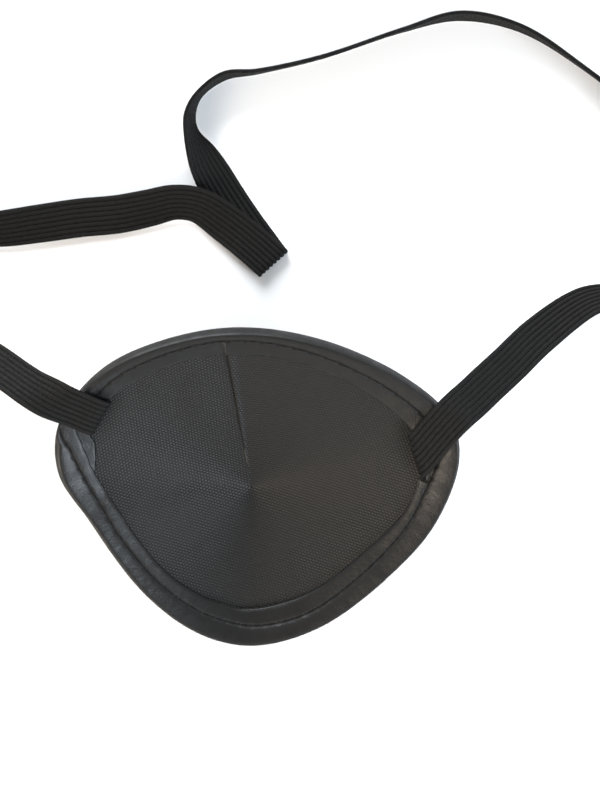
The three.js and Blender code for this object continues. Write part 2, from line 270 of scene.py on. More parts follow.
# ---- Materials ----
class Look:
    """A material with a Principled shader, and short ways to add nodes to it."""

    def __init__(self, name, colour, roughness, **sockets):
        self.material = bpy.data.materials.new(name)
        self.material.use_nodes = True
        self.tree = self.material.node_tree
        self.shader = self.tree.nodes["Principled BSDF"]
        self.shader.inputs["Base Color"].default_value = (*colour, 1)
        self.shader.inputs["Roughness"].default_value = roughness
        for socket, value in sockets.items():
            self.shader.inputs[socket.replace("_", " ")].default_value = value

    def node(self, kind, **settings):
        made = self.tree.nodes.new(kind)
        for key, value in settings.items():
            setattr(made, key, value)
        return made

    def feed(self, socket, value):
        if isinstance(value, bpy.types.NodeSocket):
            self.tree.links.new(value, socket)
        else:
            socket.default_value = value

    def math(self, operation, *values):
        made = self.node("ShaderNodeMath", operation=operation)
        for socket, value in zip(made.inputs, values):
            self.feed(socket, value)
        return made.outputs[0]

    def attribute(self, name):
        return self.node("ShaderNodeAttribute", attribute_name=name)

    def split(self, vector):
        made = self.node("ShaderNodeSeparateXYZ")
        self.feed(made.inputs[0], vector)
        return made.outputs

    def surface_place(self):
        """The object's own coordinates, in millimetres."""
        made = self.node("ShaderNodeVectorMath", operation="SCALE")
        self.feed(made.inputs[0], self.node("ShaderNodeTexCoord").outputs["Object"])
        made.inputs["Scale"].default_value = 1 / MM
        return made.outputs[0]

    def noise(self, place, size, detail=2.0, roughness=0.5):
        made = self.node("ShaderNodeTexNoise")
        self.feed(made.inputs["Vector"], place)
        made.inputs["Scale"].default_value = 1 / size
        made.inputs["Detail"].default_value = detail
        made.inputs["Roughness"].default_value = roughness
        return made.outputs["Fac"]

    def cells(self, place, size):
        made = self.node("ShaderNodeTexVoronoi", feature="F1")
        self.feed(made.inputs["Vector"], place)
        made.inputs["Scale"].default_value = 1 / size
        return made.outputs["Distance"]

    def ramp(self, value, *stops):
        """A value turned into another: stops are (position, number) or (position, colour)."""
        made = self.node("ShaderNodeValToRGB")
        self.feed(made.inputs[0], value)
        elements = made.color_ramp.elements
        while len(elements) < len(stops):
            elements.new(1)
        for element, (position, colour) in zip(elements, stops):
            element.position = position
            element.color = (*colour, 1) if hasattr(colour, "__len__") else (colour, colour, colour, 1)
        return made.outputs[0]

    def mix(self, share, first, second):
        made = self.node("ShaderNodeMix", data_type="RGBA")
        self.feed(made.inputs[0], share)
        for socket, value in ((made.inputs[6], first), (made.inputs[7], second)):
            self.feed(socket, value if isinstance(value, bpy.types.NodeSocket) else (*value, 1))
        return made.outputs[2]

    def range(self, value, low, high, new_low, new_high):
        made = self.node("ShaderNodeMapRange", interpolation_type="SMOOTHSTEP")
        for socket, number in zip(made.inputs, (value, low, high, new_low, new_high)):
            self.feed(socket, number)
        return made.outputs[0]

    def colour(self, value):
        self.feed(self.shader.inputs["Base Color"], value)

    def roughness(self, value):
        self.feed(self.shader.inputs["Roughness"], value)

    def bump(self, *heights):
        """Each height is a value and the millimetres that it stands for."""
        below = None
        for value, millimetres in heights:
            made = self.node("ShaderNodeBump")
            made.inputs["Distance"].default_value = millimetres * MM
            self.feed(made.inputs["Height"], value)
            if below is not None:
                self.feed(made.inputs["Normal"], below)
            below = made.outputs[0]
        self.feed(self.shader.inputs["Normal"], below)


def leather_look(name, dark, light, roughness, grain):
    """Coated leather: a fine pebbled grain over soft uneven patches, dull in a stitched groove, with painted
    shade, near-black, where its groove value is set.
    """
    look = Look(name, light, roughness, Specular_IOR_Level=0.34)
    place = look.surface_place()
    pebbles = look.cells(place, grain)
    mottle = look.noise(place, 3.5, 4, 0.6)
    fine = look.noise(place, 0.18, 3, 0.6)
    # The groove value paints shade: near-black colour in the stitch slits and along the tape's turned outer
    # edge.
    groove = look.attribute("groove").outputs["Fac"]
    tone = look.mix(look.range(mottle, 0.35, 0.65, 0, 1), dark, light)
    look.colour(look.mix(look.range(groove, 0.2, 0.8, 0, 1), tone, (0.0008, 0.0008, 0.0008)))
    even = look.range(mottle, 0.3, 0.7, roughness + 0.07, roughness - 0.05)
    look.roughness(look.math("ADD", even, look.math("MULTIPLY", groove, 0.5)))
    look.bump((look.noise(place, 2.4, 3, 0.55), 0.06), (pebbles, 0.025), (fine, 0.010))
    return look.material


def lining_look():
    """A plain weave of two sets of yarns, seen as rows of small raised dots."""
    look = Look("lining_weave", (0.015, 0.015, 0.015), 0.5, Specular_IOR_Level=0.2)
    flat = look.attribute("flat").outputs["Vector"]
    across, along, _ = look.split(flat)
    row, dot, heading = 0.56, 0.34, math.radians(65)

    def wave(turn, spacing):
        x_part = look.math("MULTIPLY", across, math.cos(turn) * math.pi / spacing)
        y_part = look.math("MULTIPLY", along, math.sin(turn) * math.pi / spacing)
        return look.math("ADD", x_part, y_part)

    beside = wave(heading - math.pi / 2, row)
    ahead = wave(heading, dot)
    dots = look.math("MULTIPLY", look.math("SINE", beside), look.math("SINE", ahead))
    furrows = look.math("COSINE", look.math("MULTIPLY", beside, 2.0))
    uneven = look.noise(flat, 0.5, 2)
    slub = look.noise(flat, 6.0, 3)
    height = look.math("SUBTRACT", look.math("MULTIPLY", dots, 0.8), look.math("MULTIPLY", furrows, 0.7))
    # Painted highlight and shade: the raised dots are coloured lighter and the furrows darker, following the
    # weave's height.
    lit = look.range(look.math("ADD", height, look.math("MULTIPLY", uneven, 0.6)), -1.3, 1.7, 0, 1)
    tone = look.mix(lit, (0.0036, 0.0035, 0.0034), (0.0205, 0.0200, 0.0195))
    worn = look.mix(look.range(slub, 0.35, 0.7, 0, 0.2), tone, (0.0160, 0.0154, 0.0148))
    raw = look.attribute("raw").outputs["Fac"]
    look.colour(look.mix(raw, worn, (0.3, 0.28, 0.25)))
    look.roughness(look.range(lit, 0, 1, 0.54, 0.40))
    look.bump((look.noise(flat, 4.0, 2), 0.10), (height, 0.030), (uneven, 0.012))
    return look.material


def board_look():
    """Matt closed-cell foam with small pores."""
    look = Look("board_foam", (0.04, 0.04, 0.042), 0.9, Specular_IOR_Level=0.3)
    place = look.surface_place()
    pores = look.cells(place, 0.35)
    # Painted shade: the pores, which the bump makes pits, are coloured darker.
    look.colour(look.mix(look.range(pores, 0.1, 0.6, 0, 1), (0.02, 0.02, 0.021), (0.05, 0.05, 0.052)))
    look.bump((pores, 0.08))
    return look.material


def thread_look():
    """Twisted thread: plies that wind along it, one turn in 0.6 mm."""
    look = Look("thread_twist", (0.004, 0.004, 0.004), 0.8, Specular_IOR_Level=0.2)
    along = look.attribute("along").outputs["Fac"]
    around = look.attribute("around").outputs["Fac"]
    wind = look.math("ADD", look.math("MULTIPLY", along, FULL_TURN / 0.6), look.math("MULTIPLY", around, 2.0))
    plies = look.math("SINE", wind)
    # Painted shade: the hollows between the plies are coloured darker and their crowns lighter.
    look.colour(look.mix(look.range(plies, -1, 1, 0, 1), (0.002, 0.002, 0.002), (0.007, 0.007, 0.007)))
    look.bump((plies, 0.06))
    return look.material


def elastic_look():
    """Braided elastic: ribs along it with painted shade, near-black, in the grooves between them, and yarns
    that cross each rib in a V.
    """
    look = Look("elastic_braid", (0.005, 0.005, 0.005), 0.7, Specular_IOR_Level=0.17)
    along = look.attribute("along").outputs["Fac"]
    rib = look.attribute("rib").outputs["Fac"]  # 0 in a groove, 1 on the crown
    side = look.attribute("across").outputs["Fac"]
    yarns = look.math(
        "SINE",
        look.math("ADD", look.math("MULTIPLY", along, FULL_TURN / 0.9), look.math("MULTIPLY", rib, 2.4)),
    )
    place = look.node("ShaderNodeCombineXYZ")
    look.feed(place.inputs[0], look.math("MULTIPLY", side, 2.5))
    look.feed(place.inputs[1], look.math("MULTIPLY", along, 0.7))
    streaks = look.noise(place.outputs[0], 0.8, 3, 0.6)
    # Painted shade: near-black colour in the grooves between ribs, lighter on the crowns.
    tone = look.mix(look.range(rib, 0.2, 0.75, 0, 1), (0.0003, 0.0003, 0.0003), (0.0064, 0.0061, 0.0058))
    tone = look.mix(look.range(yarns, -1, 1, 0, 0.1), tone, (0.003, 0.003, 0.003))
    look.colour(look.mix(look.range(streaks, 0.4, 0.75, 0, 0.25), tone, (0.010, 0.0093, 0.0085)))
    look.roughness(look.range(streaks, 0.3, 0.7, 0.82, 0.66))
    look.bump((yarns, 0.015), (streaks, 0.05))
    return look.material


def raw_edge_look():
    """The undyed cloth that backs the leather, seen where the tape is cut."""
    look = Look("raw_backing", (0.16, 0.14, 0.1), 0.85)
    fibres = look.noise(look.surface_place(), 0.3, 3, 0.7)
    pale = look.attribute("pale").outputs["Fac"]
    worn = look.mix(fibres, (0.010, 0.009, 0.008), (0.032, 0.028, 0.022))
    fresh = look.mix(look.range(fibres, 0.3, 0.7, 0, 1), (0.06, 0.052, 0.036), (0.22, 0.2, 0.14))
    look.colour(look.mix(pale, worn, fresh))
    look.bump((fibres, 0.1))
    return look.material


def floor_look():
    look = Look("table_top", (0.93, 0.93, 0.93), 0.6)
    look.roughness(look.range(look.noise(look.surface_place(), 60, 2), 0.3, 0.7, 0.6, 0.7))
    return look.material


BINDING_LEATHER = leather_look(
    "binding_leather_grain", (0.0042, 0.0041, 0.0040), (0.0080, 0.0078, 0.0076), roughness=0.42, grain=0.42
)
SHELL_LEATHER = leather_look(
    "shell_leather_grain", (0.003, 0.003, 0.003), (0.0058, 0.0057, 0.0057), roughness=0.42, grain=0.6
)
LINING_WEAVE = lining_look()
BOARD_FOAM = board_look()
THREAD_TWIST = thread_look()
ELASTIC_BRAID = elastic_look()
RAW_BACKING = raw_edge_look()

# ---- The strap ----
RIBS = 8
RIB_POINTS = 9
RIB_DEPTH = 0.26
STRAP_STEP = 0.5
CROSSING_LIFT = 1.95  # the strap's middle over the lining's face where it crosses the tape
FOLD_LOW_LIFT = 0.55
FOLD_RADIUS = 1.05
TUCK = 3.0  # length of the sewn end that lies under the tape
TUCK_SINK = 0.65  # how far it is pressed down there
EDGE_THICKNESS = 0.45  # of the strap's outermost edge, as a share of the groove's
RIM_EASING = 4.5  # millimetres round the rim in which the line is smoothed
LEAST_SQUARE = 0.5  # keeps a slanted cross-section from growing without end


def strap_section():
    """Points round the strap: across its width, through its thickness, and how high on a rib they are."""
    half = STRAP_WIDTH / 2
    face = []
    for i in range(RIBS * RIB_POINTS + 1):
        crown = abs(math.sin(math.pi * i / RIB_POINTS)) ** 0.7
        across = half * (2 * i / (RIBS * RIB_POINTS) - 1)
        deep = STRAP_THICKNESS / 2 - RIB_DEPTH * (1 - crown)
        if i in (0, RIBS * RIB_POINTS):
            deep *= EDGE_THICKNESS
        face.append((across, deep, crown))
    back = [(across, -deep, crown) for across, deep, crown in reversed(face)]
    return np.array(face + back)


def sewn_end(fold, fold_edge, rim, stub, tight_fold):
    """World points and widths of a sewn end, from under the tape, round its fold, and out over the rim.

    The tape's soft edge gives way, so the fold is nearer to the rim than in the CAD model. A strap folded
    on a slant goes round its fold as a helix does, with its ribs unbent.
    """
    rim = np.array(rim)
    leaves = rim + unit(rim - np.array(fold)) * stub
    fold = np.array(tight_fold)
    edge = np.array([math.cos(math.radians(fold_edge)), math.sin(math.radians(fold_edge))])
    run = unit(leaves - fold)
    length = np.linalg.norm(leaves - fold)
    square = np.array([-run[1], run[0]])
    square *= np.sign(square @ edge)
    out = np.array([edge[1], -edge[0]])
    out *= np.sign(out @ run)
    slant = (run @ edge) / (run @ out)
    rows = []

    def add(place, lift, width):
        rows.append((*place, lift, *width))

    low = fold - edge * slant * math.pi * FOLD_RADIUS
    for part in np.linspace(1, 0.15, 6):
        sunk = FOLD_LOW_LIFT - TUCK_SINK * float(smoothstep(0.1, 0.7, part))
        add(low + unit(out - edge * slant) * TUCK * part, sunk, edge)
    for turn in np.radians(np.linspace(-90, 90, 9)):
        place = fold - out * FOLD_RADIUS * math.cos(turn) - edge * slant * FOLD_RADIUS * (math.pi / 2 - turn)
        add(place, FOLD_LOW_LIFT + FOLD_RADIUS * (1 + math.sin(turn)), edge)
    top = FOLD_LOW_LIFT + 2 * FOLD_RADIUS
    for part in np.linspace(0.15, 1, 7):
        width = unit(edge + (square - edge) * min(1, part * 1.3))
        settled = float(smoothstep(0, 0.6, part))
        add(fold + run * length * part, top + (CROSSING_LIFT - top) * settled, width)
    rows = np.array(rows)
    points = to_world(on_cone(rows[:, :2], rows[:, 2]))
    tips = to_world(on_cone(rows[:, :2] + rows[:, 3:5], rows[:, 2]))
    return points, unit(tips - points)


def free_run(route, sign):
    """World points and widths of a free stretch of the strap."""
    line = catmull_rom(route, 12, 3)
    along = unit(np.gradient(line[:, :3], axis=0))
    level = unit(np.column_stack([-along[:, 1], along[:, 0], np.zeros(len(line))]))
    lean = np.radians(line[:, 3])[:, None]
    widths = sign * (level * np.cos(lean) + np.array([0, 0, 1]) * np.sin(lean))
    return line[:, :3], unit(widths - (widths * along).sum(1, keepdims=True) * along)


def crease_turn(upper, lower):
    """The half turn that joins the strand on top to the one below it."""
    edge = np.array(CREASE_EDGE)
    out = np.array([edge[1], -edge[0], 0])
    middle = (upper + lower) / 2
    turns = np.radians(np.linspace(75, -75, 9))
    points = []
    for turn in turns:
        offset = out * CREASE_FLATNESS * math.cos(turn) + np.array([0, 0, math.sin(turn)])
        points.append(middle + offset * CREASE_RADIUS)
    return np.array(points), np.tile(edge, (len(turns), 1))


def smooth_widths(points, widths, reach):
    """The widths averaged along the strap, so that it turns gently where two stretches meet."""
    along = distances(points)
    even = [np.exp(-(((along - here) / reach) ** 2)) @ widths for here in along]
    return unit(np.array(even))


def joined(rim_at, *stretches):
    """Stretches in a row, as one line of points and widths, eased where the strap leaves the rim."""
    points = np.concatenate([s[0] for s in stretches])
    widths = np.concatenate([s[1] for s in stretches])
    for i in range(1, len(widths)):
        if widths[i] @ widths[i - 1] < 0:
            widths[i] *= -1
    line = resample(np.column_stack([points, widths]), STRAP_STEP)
    along = distances(line[:, :3])
    near = np.exp(-((np.linalg.norm(line[:, :3] - rim_at, axis=1) / RIM_EASING) ** 2))[:, None]
    for _ in range(3):
        even = np.array([np.exp(-(((along - here) / 2.0) ** 2)) for here in along])
        line = line * (1 - near) + (even / even.sum(1, keepdims=True)) @ line * near
    return line[:, :3], smooth_widths(line[:, :3], line[:, 3:], 1.5)


def strap_piece(name, points, widths, replaced):
    section = strap_section()
    tangents = unit(np.gradient(points, axis=0))
    square = widths - (widths * tangents).sum(1, keepdims=True) * tangents
    across = widths / np.maximum(np.linalg.norm(square, axis=1, keepdims=True), LEAST_SQUARE)
    through = np.cross(tangents, unit(square))
    rings = (
        points[:, None]
        + across[:, None] * section[None, :, 0, None]
        + through[:, None] * section[None, :, 1, None]
    )
    vertices = rings.reshape(-1, 3)
    piece = new_object(name, vertices, tube_faces(len(points), len(section)), ELASTIC_BRAID)
    along = np.repeat(distances(points), len(section))
    set_attribute(piece, "along", along)
    set_attribute(piece, "across", np.tile(section[:, 0], len(points)))
    set_attribute(piece, "rib", np.tile(section[:, 2], len(points)))
    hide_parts(*replaced)
    return piece


def turned_round(stretch):
    return stretch[0][::-1], stretch[1][::-1]


left_end = sewn_end(**STRAP_ENDS["left"])
right_end = sewn_end(**STRAP_ENDS["right"])
left_run = free_run(LEFT_ROUTE, 1)
right_run = free_run(RIGHT_ROUTE, -1)
crease = crease_turn(left_run[0][-1], right_run[0][0])
LEFT_EXIT = left_end[0][-1]
RIGHT_EXIT = right_end[0][-1]
left_points, left_widths = joined(LEFT_EXIT, left_end, left_run, crease)
right_points, right_widths = joined(RIGHT_EXIT, right_run, turned_round(right_end))

left_strap = strap_piece("strap_left", left_points, left_widths, ["strap_end_left", "strap_left_run"])
right_strap = strap_piece("strap_right", right_points, right_widths, ["strap_end_right", "strap_right_run"])


def declare_strap(piece):
    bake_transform(piece)


declare_strap(left_strap)
declare_strap(right_strap)


# ---- The binding: a folded leather tape with a line of stitching ----
TAPE_STEP = 0.33
STITCH_PITCH = 3.3
LAP_FROM = -0.02  # share of the outline at which the tape starts, on top of its own end
LAP_TO = 0.068  # where its end stops, below
LAP_RAISE = 0.55  # how far the end lifts the start that lies on it
STITCH_FROM = 0.004
STITCH_TO = 0.985
HOLE_SIZE = 0.45
CUT_AT = 0.5395  # share at which the tape's inner part is cut through, beside the right end of the strap
PUFF = 0.26  # how far the tape swells between its fold and its stitching
INNER_PUFF = 0.05  # and between its stitching and its inner edge
CHANNEL_HALF_WIDTH = 0.3
CHANNEL_DEPTH = 0.12  # of the channel that the stitches pull
PIT_DEPTH = 0.24  # and more at each hole
CUT_DROP = 0.22  # how far the tape's inner part lies lower past the cut
EDGE_THINNING = 0.12  # how far its inner edge is pressed thin
UNDER_SINK = 0.3  # how far its end is pressed down where its start lies on it
SLIT_HALF_WIDTH = 0.26
SLIT_HALF_LENGTH = 0.75

# How far in from the rim the rounding of the tape's fold comes: share of the outline, millimetres.
FOLD_REACHES = [(-0.02, 1.5), (0.36, 1.3), (0.43, 0.65), (0.68, 0.65), (0.75, 1.4), (1.07, 1.5)]

# How far in from the rim the stitching and the tape's inner edge are: share of the outline, millimetres. The
# tape's start runs off the rim at an angle, over its own end, which is the last few rows.
STITCH_INSETS = [
    (-0.02, 0.2), (0.006, 0.4), (0.015, 1.5), (0.022, 2.7), (0.04, 3.8), (0.056, 4.2), (0.08, 3.9),
    (0.12, 3.3), (0.17, 3.6), (0.24, 4.2), (0.27, 4.4), (0.35, 3.8), (0.45, 4.0), (0.53, 4.8), (0.57, 4.2),
    (0.65, 3.4), (0.78, 2.2), (0.82, 1.9), (0.88, 2.3), (0.95, 2.8), (1.07, 3.2),
]
TAPE_INSETS = [
    (-0.02, 2.2), (0.002, 3.2), (0.015, 4.8), (0.036, 6.0), (0.06, 6.3), (0.095, 5.8), (0.14, 5.7),
    (0.19, 6.1), (0.26, 7.1), (0.31, 7.3), (0.36, 7.0), (0.44, 6.6), (0.51, 6.3), (0.54, 6.8), (0.62, 7.5),
    (0.67, 6.5), (0.76, 5.3), (0.87, 5.0), (0.91, 5.4), (0.95, 5.3), (1.006, 6.0), (1.018, 7.4), (1.042, 7.4),
    (1.06, 6.4), (1.07, 5.2),
]


def eased(share, knots):
    """A value between knots of (share, value), with the corners rounded off."""
    at, value = np.array(knots).T
    return np.mean([np.interp(share + shift, at, value) for shift in np.linspace(-0.004, 0.004, 5)], axis=0)


def stitch_inset(share):
    return eased(share, STITCH_INSETS)


def tape_inset(share):
    return eased(share, TAPE_INSETS) + 0.05 * np.sin(share * 61) + 0.03 * np.sin(share * 173 + 1)


def lap_lift(share):
    """How far the tape's own end lifts it off the lining and off the shell."""
    return LAP_RAISE * (1 - smoothstep(LAP_TO - 0.016, LAP_TO + 0.03, share))


def stitch_holes():
    count = round((STITCH_TO - STITCH_FROM) * PERIMETER / STITCH_PITCH)
    return np.linspace(STITCH_FROM, STITCH_TO, count + 1)


def hole_gap(shares):
    """How far along the rim the nearest stitch hole is."""
    return np.abs(np.mod(shares, 1)[:, None] - stitch_holes()[None]).min(1) * PERIMETER


SEAM_DROP = 0.75  # the sheet's step down, and how many degrees it takes to come up again
SEAM_DROP_WIDTH = 14
SEAM_RISE = 0.1  # its rise on the other side
SEAM_RISE_WIDTH = 5


def seam_dip(azimuth_degrees, reach):
    """How far the lining and the tape over it dip just left of the seam, as the sheet steps down there."""
    past = np.mod(azimuth_degrees - SEAM_AZIMUTH, 360)
    step = np.exp(-((past / SEAM_DROP_WIDTH) ** 1.5)) * np.where(past < 180, 1, 0)
    rise = np.exp(-(((360 - past) / SEAM_RISE_WIDTH) ** 2))
    return (step * -SEAM_DROP + rise * SEAM_RISE) * np.clip(reach / 0.9, 0, 1) ** 1.2


def tape_dip(xy, inset):
    """The same dip in the tape, which fades out towards the rim."""
    azimuth = np.degrees(np.arctan2(xy[..., 1], xy[..., 0]))
    return seam_dip(azimuth, rim_reach(xy)) * smoothstep(0, 5, inset)


def tape_rings(shares):
    """Points round the tape's folded section at each share, from the inner edge on the face and all round."""
    inset_w, inset_s = tape_inset(shares), stitch_inset(shares)
    sewn = smoothstep(0, 0.006, shares) * (1 - smoothstep(0.985, 0.995, shares))
    pit = np.exp(-((hole_gap(shares) / HOLE_SIZE) ** 2)) * sewn
    raised = lap_lift(shares)
    under = smoothstep(0.985, 1.0, shares)
    fold_reach = np.clip(inset_s - 0.85, 0.2, eased(shares, FOLD_REACHES))
    cut = smoothstep(CUT_AT, CUT_AT + 0.0012, shares) * (1 - smoothstep(0.58, 0.6, shares))
    rows = []

    def add(inset, lift):
        rows.append(np.stack([inset, lift], axis=-1))

    def face(inset, side):
        """The lift of the tape's face or back at an inset."""
        base = TAPE_TOP if side > 0 else TAPE_BOTTOM
        outer = np.clip(inset / inset_s, 0, 1)
        inner = np.clip((inset - inset_s) / np.maximum(inset_w - inset_s, 0.1), 0, 1)
        puff = PUFF * np.sin(math.pi * outer) * (1 - 0.07 * pit) + INNER_PUFF * np.sin(math.pi * inner)
        off_channel = (inset - inset_s) / CHANNEL_HALF_WIDTH
        channel = np.exp(-(off_channel**2)) * (CHANNEL_DEPTH * sewn + PIT_DEPTH * pit)
        puff = puff * (1 - under) - CUT_DROP * cut * smoothstep(0.0, 0.12, inner)
        thin = EDGE_THINNING * smoothstep(inset_w - 0.45, inset_w, inset) * (1 - under)
        return base + side * (puff - channel - thin + raised - UNDER_SINK * under)

    def inner_edge(side):
        base = TAPE_TOP if side > 0 else TAPE_BOTTOM
        return base - side * (TAPE_THICKNESS - 0.05 - raised)

    def sweep(side):
        """From the inner edge to the start of the fold."""
        add(inset_w, inner_edge(side) + side * 0.05)
        add(inset_w + 0.04 + 0.2 * under, (inner_edge(side) + face(inset_w, side)) / 2)
        for part in np.linspace(0, 1, 9) ** 1.4:
            inset = inset_w + (np.minimum(inset_s + 0.95, inset_w - 0.1) - inset_w) * part
            add(inset, face(inset, side))
        for part in np.linspace(0.75, -0.75, 9):
            inset = np.clip(inset_s + part, fold_reach + 0.05 * (1 + part), inset_w - 0.12)
            add(inset, face(inset, side))
        for part in np.linspace(0, 1, 8)[1:]:
            begins = np.maximum(inset_s - 0.75, fold_reach + 0.0125)
            inset = begins + (fold_reach - begins) * part
            add(inset, face(inset, side))

    sweep(1)
    top, bottom = face(fold_reach, 1), face(fold_reach, -1)
    for angle in np.linspace(0, math.pi, 15)[1:-1]:
        bulge = math.sin(angle) ** 0.75
        height = math.copysign(abs(math.cos(angle)) ** 0.8, math.cos(angle))
        inset = fold_reach * (1 - bulge) + (0.35 * under - 0.25 * raised / LAP_RAISE) * math.sin(angle)
        add(inset, (top + bottom) / 2 + (top - bottom) / 2 * height)
    face_rows = rows
    rows = []
    sweep(-1)
    back_rows = rows[::-1]
    rows = face_rows + back_rows
    for part in np.linspace(1, 0, 4):
        add(inset_w * part + 1.2 * (1 - part), inner_edge(-1))
    for part in np.linspace(0, 1, 4):
        add(inset_w * part + 1.2 * (1 - part), inner_edge(1))
    return np.stack(rows, axis=1)


def binding():
    shares = np.linspace(LAP_FROM, 1 + LAP_TO, round((1 + LAP_TO - LAP_FROM) * PERIMETER / TAPE_STEP))
    rings = tape_rings(shares)
    start, inward = rim_point(shares), rim_inward(shares)
    xy = start[:, None] + inward[:, None] * rings[..., 0, None]
    local = on_cone(xy, rings[..., 1])
    local[..., 2] += tape_dip(xy, rings[..., 0])
    flat = local.reshape(-1, 3)
    flat[:, 2] += 0.04 * rumple(flat, 2.2, 1) + 0.012 * rumple(flat, 0.9, 2) + 0.07 * rumple(flat, 7, 3)
    sides = rings.shape[1]
    piece = new_object("binding_tape", to_world(flat), tube_faces(len(shares), sides), BINDING_LEATHER)
    piece.data.materials.append(RAW_BACKING)
    raw_faces = [0] * len(piece.data.polygons)
    for i in range(len(shares) - 1):
        raw_faces[i * sides] = 1  # the face between the section's first two points, at the inner edge
    raw_faces[-2:] = [1, 1]
    piece.data.polygons.foreach_set("material_index", raw_faces)
    set_attribute(piece, "pale", np.repeat(smoothstep(0.995, 1.002, shares), sides))
    off_line = (rings[..., 0] - stitch_inset(shares)[:, None]) / SLIT_HALF_WIDTH
    sewn = (smoothstep(0, 0.006, shares) * (1 - smoothstep(0.985, 0.99, shares)))[:, None]
    near_hole = np.exp(-((hole_gap(shares) / SLIT_HALF_LENGTH) ** 2))
    # Painted shade for the leather: darkest in the stitch slits, and half dark along the rolled outer edge of
    # the tape.
    slit_painted_shade = np.exp(-(off_line**2)) * sewn * (0.5 + 0.5 * near_hole)[:, None]
    edge_painted_shade = 0.5 * (1 - smoothstep(0.0, 0.7, rings[..., 0]))
    set_attribute(piece, "groove", np.maximum(slit_painted_shade, edge_painted_shade).ravel())
    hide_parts("binding")
    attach(piece, "patch")
    return piece


binding()


# ---- Stitches ----
THREAD_RADIUS = 0.14


def thread_tube(points, radius, sides=8):
    """Rings round a line of points, with its ends drawn in to a small tip."""
    tangents = unit(np.gradient(points, axis=0))
    across = unit(np.cross(tangents, [0.0, 0.0, 1.0]))
    up = np.cross(across, tangents)
    angles = np.linspace(0, FULL_TURN, sides, endpoint=False)
    ends = np.minimum(1, 0.35 + np.minimum(np.arange(len(points)), np.arange(len(points))[::-1]) * 0.5)
    radii = (radius * ends)[:, None, None]
    return (
        points[:, None]
        + across[:, None] * np.cos(angles)[None, :, None] * radii
        + up[:, None] * np.sin(angles)[None, :, None] * radii
    ), angles


def stitching(name, node, side):
    """One thread of the seam, as the stitches that show between its holes."""
    base = TAPE_TOP if side > 0 else TAPE_BOTTOM
    holes = stitch_holes()
    vertices, faces, alongs, arounds = [], [], [], []
    for first, last in zip(holes, holes[1:]):
        shares = np.linspace(first + 0.0012, last - 0.0012, 11)
        inset = stitch_inset(shares)
        sink = 0.08 + 0.4 * np.abs(np.linspace(-1, 1, 11)) ** 3
        xy = rim_point(shares) + rim_inward(shares) * inset[:, None]
        local = on_cone(xy, base - side * sink)
        local[:, 2] += tape_dip(xy, inset)
        local[:, 2] += side * lap_lift(shares)
        points = to_world(local)
        rings, angles = thread_tube(points, THREAD_RADIUS)
        faces += tube_faces(len(points), len(angles), start=sum(len(v) for v in vertices))
        vertices.append(rings.reshape(-1, 3))
        alongs.append(np.repeat(distances(points), len(angles)))
        arounds.append(np.tile(angles, len(points)))
    piece = new_object(name, np.concatenate(vertices), faces, THREAD_TWIST)
    set_attribute(piece, "along", np.concatenate(alongs))
    set_attribute(piece, "around", np.concatenate(arounds))
    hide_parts(node)
    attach(piece, "patch")
    return piece


stitching("needle_stitches", "needle_thread", 1)
stitching("bobbin_stitches", "bobbin_thread", -1)


# ---- The lining: a woven sheet rolled into a cone, one straight edge lapped over the other ----
TROUGH_DEPTH = 0.5  # each fold of the strap presses a short trough into the lining
TROUGH_REACH = 2.9
TROUGH_HALF_LENGTH = 2.0
LINING_LAP = 10.0  # degrees of the sheet that lie under the edge
LAP_DROP = 0.8  # how far the lap lies below the sheet
EDGE_RISE = 0.22  # how far the edge on top stands off
LINING_TIP = 0.12  # how far the cone's tip is rounded off
HIGHEST_LIFT = 0.4
RULINGS = 520
RULING_POINTS = 56


def unrolled(azimuths):
    """The angle in the flat sheet that each azimuth of the cone has."""
    fine = np.linspace(azimuths[0], azimuths[-1], 4000)
    distance = rim_distance_at(fine)
    ends = [distance * np.cos(fine), distance * np.sin(fine), np.full(len(fine), CONE_DEPTH)]
    rulings = unit(np.column_stack(ends))
    return np.interp(azimuths, fine, distances(rulings))


